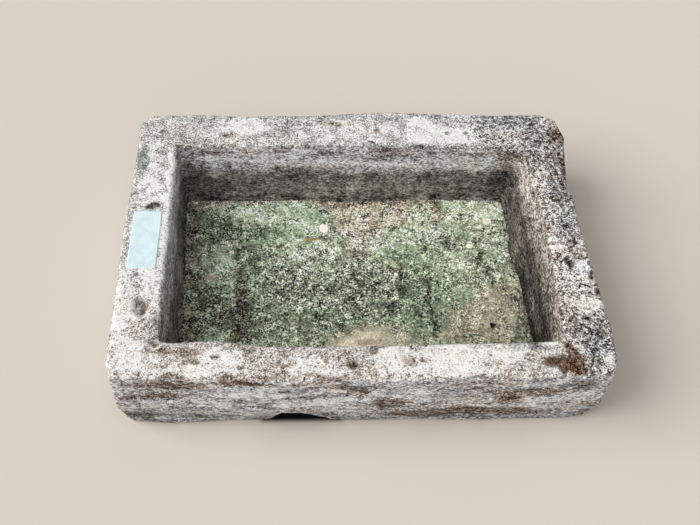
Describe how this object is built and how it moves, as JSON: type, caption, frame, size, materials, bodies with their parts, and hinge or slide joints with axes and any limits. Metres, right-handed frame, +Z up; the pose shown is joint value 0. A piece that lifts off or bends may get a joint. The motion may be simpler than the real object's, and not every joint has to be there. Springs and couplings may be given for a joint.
{
  "type": "stone trough planter",
  "caption": "Low rectangular trough hollowed from one rough block of weathered stone, with a drain hole, a silted green floor and a bare tape label on its rim.",
  "frame": {"origin": "middle of the base, on the surface it stands on", "axes": "+X along the trough to the viewer's right, +Y from its front to its back, +Z up"},
  "size_m": [0.713, 0.517, 0.1484],
  "materials": {
    "weathered_stone": "rough weathered granular stone, pale speckled rim, darker damp inner walls, rust and lichen stains",
    "label_paper": "bare pale blue white paper tape, slightly creased",
    "algae_silt": "dried silt with mottled green algae",
    "dry_sand": "fine dry tan sand",
    "lime_flake": "chalky pale flakes",
    "dead_leaf": "dry brown leaf",
    "grit": "small rough stone grains"
  },
  "bodies": {
    "root": {"stone_trough": "weathered_stone", "stock_label": "label_paper", "silt_bed": "algae_silt", "sand_drift": "dry_sand", "lime_flakes": "lime_flake", "leaf_fragments": "dead_leaf", "loose_grit": "grit"}
  },
  "joints": []
}
